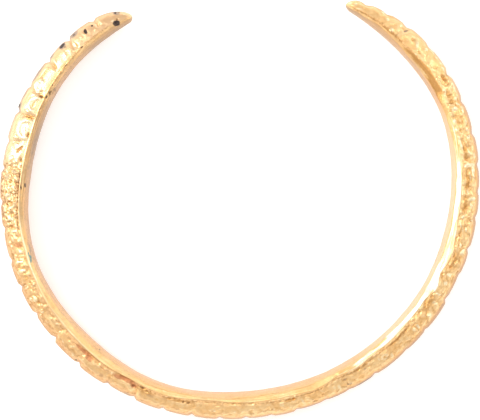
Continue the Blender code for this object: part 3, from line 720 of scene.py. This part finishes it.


# dull tan and rosy stretches of the flank, by bearing, and the painted highlight that makes the flank pale on
# the side facing the key light
flankTones = {
    "tan": (
        (29, 0.55), (54, 0.5), (64, 0.08), (95, 0.06), (118, 0.14), (136, 0.46), (180, 0.48), (195, 0.78),
        (215, 1.1), (236, 1.25), (250, 0.95), (264, 0.7), (274, 0.55), (280, 0),
    ),
    # painted highlight: the flank made paler where it faces the key light
    "paintedKeyHighlight": ((258, 0), (270, 0.2), (280, 0.4), (290, 0.4), (302, 0.2), (310, 0)),
    # how strongly the painted highlight on the struck edges shows
    "paintedGlint": (
        (124, 0.9), (134, 0.5), (222, 0.45), (240, 0.7), (264, 0.9), (278, 0.7), (304, 0.7), (329, 0.8),
    ),
    "rose": ((252, 0), (262, 0.3), (276, 0.2), (292, 0.2), (304, 0.4), (312, 0.7), (329, 0.65)),
    # how strongly the outer strip is painted brown as shade
    "strip": ((29, 0.9), (34, 0.6), (60, 0.6), (68, 0.9), (124, 1), (160, 1), (176, 0.85), (329, 0.9)),
}

# the brown line painted along the foot of the flank: bearing, place across it, strength
footLine = (
    (29, 0.02, 0), (33, -0.03, 0.7), (40, 0.06, 0.8), (50, 0.02, 0.7), (56, -0.1, 0), (126, 0.16, 0),
    (131, 0.16, 0.8), (140, 0.12, 0.7), (158, 0.08, 0.7), (170, 0.14, 0.6), (178, 0.03, 0.5),
    (192, 0.1, 0.6), (206, 0.08, 0.8), (222, 0.02, 0.4), (232, 0.02, 0), (286, -0.04, 0), (291, -0.05, 0.8),
    (312, -0.04, 0.7), (320, -0.03, 0.5), (324, 0, 0), (329, 0, 0),
)

# hollows and worn edges are what lies below and above the softened surface; shade is painted into the
# hollows, and the edges get a paler colour that is partly wear and partly painted highlight
depth = spread(spread(relief, 6, 20) - relief, 1, 1) * flank
usual = np.percentile(np.abs(depth[depth != 0]), 92)
raised = np.clip(struck * upperFlank / facets["raisedFull"], 0, 1)
tanShape = 0.2 + 0.8 * np.clip(np.abs(band.across - 0.42) / 0.38, 0, 1)
strip = (1 - band.across) / (1.02 - np.minimum(band.atBearing(facets["stripStart"]), 0.86))
footPlace = band.atBearing([row[:2] for row in footLine])
footReach = band.atBearing(((56, 0.18), (126, 0.1), (222, 0.1), (286, 0.17)))
foot = smoothEdge(np.abs(band.across - footPlace) / footReach)
foot *= band.atBearing([row[::2] for row in footLine])
carved = upperFlank * (1 - smoothEdge(band.across / 0.04))


def insideMask(tone):
    return band.atBearing(insideTones[tone]) * np.maximum(innerFace, upperRim * insideTones["onRim"])


masks = {
    # where shade is painted into the hollows
    "hollow": np.clip(depth / usual, 0, 1),
    # raised edges painted paler: partly wear, partly painted highlight
    "wearAndHighlight": np.clip(-depth / usual, 0, 1),
    # painted highlight on the raised strokes
    "raised": raised * band.atBearing(flankTones["paintedGlint"]),
    # where shade is painted into the sunk strokes
    "sunk": np.clip(-struck * upperFlank / facets["sunkFull"], 0, 1),
    "tan": band.atBearing(flankTones["tan"]) * tanShape * flank,
    # painted highlight on the flank facing the key light
    "paintedKeyHighlight": band.atBearing(flankTones["paintedKeyHighlight"]) * flank,
    "rose": band.atBearing(flankTones["rose"]) * flank,
    # painted highlight on the upper rim
    "rimLit": band.atBearing(insideTones["rimLit"]) * upperRim,
    # painted shade on the outer strip
    "outerEdge": smoothEdge((strip - 0.35) / 0.75) * band.atBearing(flankTones["strip"]) * flank,
    # painted highlight along the thin ridge at the rim's edge
    "ridge": ridge,
    "waist": smoothEdge(np.abs(band.rise) / band.height / 0.26) * innerFace,
    "foot": foot * (upperRim | upperFlank),
    "innerFace": innerFace,
    "carved": carved * np.clip(band.atBearing(facets["strength"]), 0.2, 1.2),
    "brown": np.maximum(insideMask("brown"), band.atBearing(insideTones["rimBrown"]) * upperRim),
    "pale": insideMask("pale"),
    "mottled": insideMask("mottled"),
}
for group in stainsAndShade:
    masks[group] = stainAndShadeMask(group)
for name, values in masks.items():
    mask = piece.data.attributes.new(name, "FLOAT", "POINT")
    mask.data.foreach_set("value", values[gridRow, gridColumn].astype(np.float32))

# place along the run and round the section, for the streaks
girth = band.girth * ring["girthReach"]
travel = np.stack([band.bearing * run["mmPerDegree"], girth, 0 * girth], axis=-1)
alongRun = piece.data.attributes.new("alongRun", "FLOAT_VECTOR", "POINT")
alongRun.data.foreach_set("vector", travel[gridRow, gridColumn].astype(np.float32).reshape(-1))
print("masks painted:", len(masks))

# the two long sides of the grid meet on the inner face, and each end closes to a point
makeActive(piece)
bpy.ops.object.mode_set(mode="EDIT")
bpy.ops.mesh.select_all(action="SELECT")
bpy.ops.mesh.remove_doubles(threshold=ring["weld"])
bpy.ops.mesh.normals_make_consistent(inside=False)
bpy.ops.object.mode_set(mode="OBJECT")


# Shader maths written as expressions

class Wire:
    def __init__(self, tree, socket):
        self.tree = tree
        self.socket = socket

    def node(self, kind, settings=None, inputs=None, output=0):
        made = self.tree.nodes.new(kind)
        for name, value in (settings or {}).items():
            setattr(made, name, value)
        for name, value in (inputs or {}).items():
            if isinstance(value, Wire):
                self.tree.links.new(value.socket, made.inputs[name])
            else:
                made.inputs[name].default_value = value
        return Wire(self.tree, made.outputs[output])

    def maths(self, operation, *values):
        return self.node("ShaderNodeMath", {"operation": operation}, dict(enumerate(values)))

    def __add__(self, other):
        return self.maths("ADD", self, other)

    __radd__ = __add__

    def __sub__(self, other):
        return self.maths("SUBTRACT", self, other)

    def __rsub__(self, other):
        return self.maths("SUBTRACT", other, self)

    def __mul__(self, other):
        return self.maths("MULTIPLY", self, other)

    __rmul__ = __mul__

    def limited(self, low, high):
        steps = {"Value": self, "From Min": low, "From Max": high}
        return self.node("ShaderNodeMapRange", {"interpolation_type": "SMOOTHSTEP"}, steps)

    def mixed(self, first, second):
        # first where this is 0, second where it is 1
        return self.node("ShaderNodeMix", {"data_type": "RGBA"}, {0: self, 6: first, 7: second}, 2)


def newMaterial(name):
    material = bpy.data.materials.new(name)
    material.use_nodes = True
    tree = material.node_tree
    shader = tree.nodes["Principled BSDF"]
    return material, tree, shader


def colour(red, green, blue):
    # screen colour from 0 to 255, as the shader's own linear colour
    def linear(value):
        value /= 255
        return value / 12.92 if value <= 0.04045 else ((value + 0.055) / 1.055) ** 2.4
    return (linear(red), linear(green), linear(blue), 1)


gilding = {
    "gold": colour(255, 214, 154),
    "pale": colour(255, 224, 174),
    "deep": colour(253, 202, 136),
    # painted shade for hollows, sunk strokes and deep spots
    "recessShade": colour(206, 150, 84),
    "tan": colour(230, 184, 132),
    "rose": colour(226, 184, 146),
    # painted highlight colour for the flank facing the key light
    "paintedKeyHighlight": colour(255, 228, 192),
    # painted highlight on raised strokes and on the ridge at the rim's edge
    "paintedGlint": colour(255, 240, 200),
    # painted shade on the steep outer strip, paler on the side facing the key light
    "edge": colour(196, 150, 106),
    "edgePale": colour(212, 172, 144),
    "inside": colour(220, 172, 120),
    "waist": colour(214, 160, 120),
    "foot": colour(186, 136, 84),
    "lit": colour(245, 205, 164),
    "rimLit": colour(255, 238, 208),
    "rimDull": colour(240, 192, 128),
    "brown": colour(172, 138, 102),
    "speck": colour(190, 140, 86),
    "red": colour(196, 134, 94),
    "stain": colour(44, 30, 26),
    "grime": colour(92, 72, 58),
    "grey": colour(150, 132, 118),
    "green": colour(116, 152, 144),
    "roughness": 0.31,
    # scale, detail and roughness of each noise in it
    "grains": {
        "broad": (320, 3, 0.55),
        "mottle": (1500, 4, 0.6),
        "edge": (2600, 3, 0.65),
        "fine": (6500, 3, 0.6),
    },
    "streakScale": (0.28, 4.5, 1),
    "chipScale": 2100,
    "bumpStrength": 0.6,
    "bumpDistance": 0.00012,
}


def gildedBronze():
    material, tree, shader = newMaterial("giltBronze")
    start = Wire(tree, None)
    coordinates = start.node("ShaderNodeTexCoord", output=3)

    def grain(name):
        scale, detail, roughness = gilding["grains"][name]
        inputs = {"Vector": coordinates, "Scale": scale, "Detail": detail, "Roughness": roughness}
        return start.node("ShaderNodeTexNoise", None, inputs)

    def mask(name, output=2):
        return start.node("ShaderNodeAttribute", {"attribute_name": name}, None, output)

    carved, tan, paintedKeyHighlight = mask("carved"), mask("tan"), mask("paintedKeyHighlight")
    broad, mottle, edge, fine = grain("broad"), grain("mottle"), grain("edge"), grain("fine")
    # streaks drawn out along the smooth faces
    inputs = {"Vector": mask("alongRun", 1), "Scale": gilding["streakScale"]}
    stretched = start.node("ShaderNodeMapping", None, inputs)
    drawn = start.node("ShaderNodeTexNoise", None, {"Vector": stretched, "Scale": 1, "Detail": 3})
    speck = (edge + fine * 0.5).limited(0.72, 0.9)
    flecks = (edge * 0.5 + fine * 0.35 + drawn * 0.5).limited(0.62, 0.8)
    # painted shade on the outer strip, paler where the key-side highlight is painted
    outerEdgeShade = paintedKeyHighlight.mixed(gilding["edge"], gilding["edgePale"])
    # painted highlight on the upper rim, broken into streaks
    lit = (drawn + mask("rimLit") * 0.3).limited(0.62, 0.86).mixed(gilding["rimDull"], gilding["rimLit"])
    soil = mottle.limited(0.35, 0.7).mixed(gilding["stain"], gilding["grime"])
    # stains have ragged edges
    red = (mask("red") + (edge - 0.5) * 0.5).limited(0.15, 0.7)
    grey = (mask("grey") * 0.9 + (edge - 0.5) * 0.7).limited(0.1, 0.9)
    dark = (mask("dark") * 0.9 + (edge - 0.5) * 0.8).limited(0.28, 0.72)
    green = (mask("green") + (edge - 0.5) * 0.9).limited(0.2, 0.75)
    # layers of colour from the metal up: how much of each shows, and its colour
    layers = (
        (mottle.limited(0.5, 0.75) * 0.6, "pale"),
        ((tan * (0.5 + mottle)).limited(0, 1), "tan"),
        # painted highlight on the flank facing the key light
        (paintedKeyHighlight, "paintedKeyHighlight"),
        (mask("rose"), "rose"),
        # raised edges painted paler: partly wear, partly painted highlight
        (mask("wearAndHighlight") * 0.4, "pale"),
        # painted shade in the hollows and sunk strokes
        (mask("hollow") * (0.45 + mottle) * 0.4, "recessShade"),
        (mask("sunk") * (0.5 + paintedKeyHighlight * 0.6), "recessShade"),
        # painted highlight on the raised strokes
        (mask("raised") * (1 - tan * 0.4), "paintedGlint"),
        ((speck * (0.2 + tan * 0.4) * carved).limited(0, 0.5), "speck"),
        # painted shade in the deep spots
        ((mask("deep") * (mottle * 0.8 + edge * 1.1)).limited(0.25, 0.9), "recessShade"),
        # painted shade on the outer strip
        (mask("outerEdge"), outerEdgeShade),
        (mask("innerFace") * 0.85, "inside"),
        # painted light on the inner face where it faces the key
        ((mask("pale") * (drawn * 2.2 - 0.3)).limited(0, 1), "lit"),
        # painted highlight on the upper rim
        (mask("rimLit").limited(0, 0.5), lit),
        (mask("waist") * (0.75 - mask("pale") * 0.2), "waist"),
        (flecks * mask("mottled") * 0.9, "brown"),
        # painted highlight along the ridge at the rim's edge
        ((mask("ridge") * (edge * 1.6 - 0.1)).limited(0, 0.8), "paintedGlint"),
        ((mask("foot") * (edge * 2.4 - 0.5)).limited(0, 0.85), "foot"),
        ((mask("brown") * (broad * 0.5 + drawn * 1.2)).limited(0, 1), "brown"),
        (red * 0.8, "red"), (grey * 0.8, "grey"), (dark, soil), (green, "green"),
    )
    tone = broad.limited(0.38, 0.66).mixed(gilding["deep"], gilding["gold"])
    for share, paint in layers:
        tone = share.mixed(tone, paint if isinstance(paint, Wire) else gilding[paint])
    tree.links.new(tone.socket, shader.inputs["Base Color"])
    dull = dark * 0.8 + green * 0.7 + grey * 0.3
    metal = 1 - dull
    tree.links.new(metal.socket, shader.inputs["Metallic"])
    rough = gilding["roughness"] + (mottle - 0.5) * 0.16 + tan * 0.12 - paintedKeyHighlight * 0.15 + red * 0.2 + dull * 0.35
    tree.links.new(rough.socket, shader.inputs["Roughness"])
    inputs = {"Vector": coordinates, "Scale": gilding["chipScale"]}
    chips = start.node("ShaderNodeTexVoronoi", {"feature": "F1"}, inputs)
    height = (0.12 + carved * 0.8) * (chips * 0.9 + mottle * 0.8) + fine * 0.3 + (1 - carved) * drawn * 0.8
    inputs = {"Strength": gilding["bumpStrength"], "Distance": gilding["bumpDistance"], "Height": height}
    bump = start.node("ShaderNodeBump", None, inputs)
    tree.links.new(bump.socket, shader.inputs["Normal"])
    return material


piece.data.materials.clear()
piece.data.materials.append(gildedBronze())
makeActive(piece)
bpy.ops.object.shade_smooth()
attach(piece, "root")
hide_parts(ring["node"])
print("ring gilded")


# Floor, light and camera

studio = {
    "floorHalf": 1.2,
    "floorTone": 0.88,
    "floorGlow": 0.32,
    "sky": 0.87,
    "keyBearing": 293,
    "keyHeight": 39,
    "lampAway": 0.45,          # of both side lights
    "keySize": 0.28,
    "keyPower": 1.2,
    # a weaker light on the far side of the key, for the flank that turns away from it
    "fillBearing": 60,
    "fillHeight": 36,
    "fillSize": 0.2,
    "fillPower": 0.25,
    "topHeight": 0.6,
    "topSize": 0.34,
    "topPower": 0.4,
}


def makeFloor():
    deselectAll()
    bpy.ops.mesh.primitive_plane_add(size=2 * studio["floorHalf"], location=(0, 0, 0))
    floor = bpy.context.object
    floor.name = "floor"
    material, tree, shader = newMaterial("paleFloor")
    tone = studio["floorTone"]
    shader.inputs["Base Color"].default_value = (tone, tone, tone, 1)
    shader.inputs["Roughness"].default_value = 0.9
    shader.inputs["Specular IOR Level"].default_value = 0.1
    shader.inputs["Emission Color"].default_value = (1, 1, 1, 1)
    shader.inputs["Emission Strength"].default_value = studio["floorGlow"]
    floor.data.materials.append(material)


def addLight(place, size, power):
    deselectAll()
    bpy.ops.object.light_add(type="AREA", location=place)
    lamp = bpy.context.object
    lamp.data.shape = "SQUARE"
    lamp.data.size = size
    lamp.data.energy = power
    lamp.rotation_euler = place.to_track_quat("Z", "Y").to_euler()


def makeLight():
    world = bpy.data.worlds.new("studio")
    world.use_nodes = True
    back = world.node_tree.nodes["Background"]
    back.inputs["Color"].default_value = (1, 1, 1, 1)
    back.inputs["Strength"].default_value = studio["sky"]
    bpy.context.scene.world = world
    for lamp in ("key", "fill"):
        bearing = math.radians(studio[lamp + "Bearing"])
        height = math.radians(studio[lamp + "Height"])
        level = math.cos(height) * studio["lampAway"]
        rise = math.sin(height) * studio["lampAway"]
        place = Vector((level * math.sin(bearing), level * math.cos(bearing), rise))
        addLight(place, studio[lamp + "Size"], studio[lamp + "Power"])
    addLight(Vector((0, 0, studio["topHeight"])), studio["topSize"], studio["topPower"])


view = {
    "height": 0.32,
    "widthSeen": 0.07,
    "sensor": 36,
    "shift": (0.00006, -0.00001),
}


def makeCamera():
    data = bpy.data.cameras.new("above")
    camera = bpy.data.objects.new("above", data)
    bpy.context.scene.collection.objects.link(camera)
    data.sensor_width = view["sensor"]
    data.lens = view["sensor"] * view["height"] / view["widthSeen"]
    data.clip_start = 0.01
    camera.location = (view["shift"][0], view["shift"][1], view["height"] + run["midHeight"])
    bpy.context.scene.camera = camera


makeFloor()
makeLight()
makeCamera()
bpy.context.scene.view_settings.view_transform = "Standard"
print("studio set")
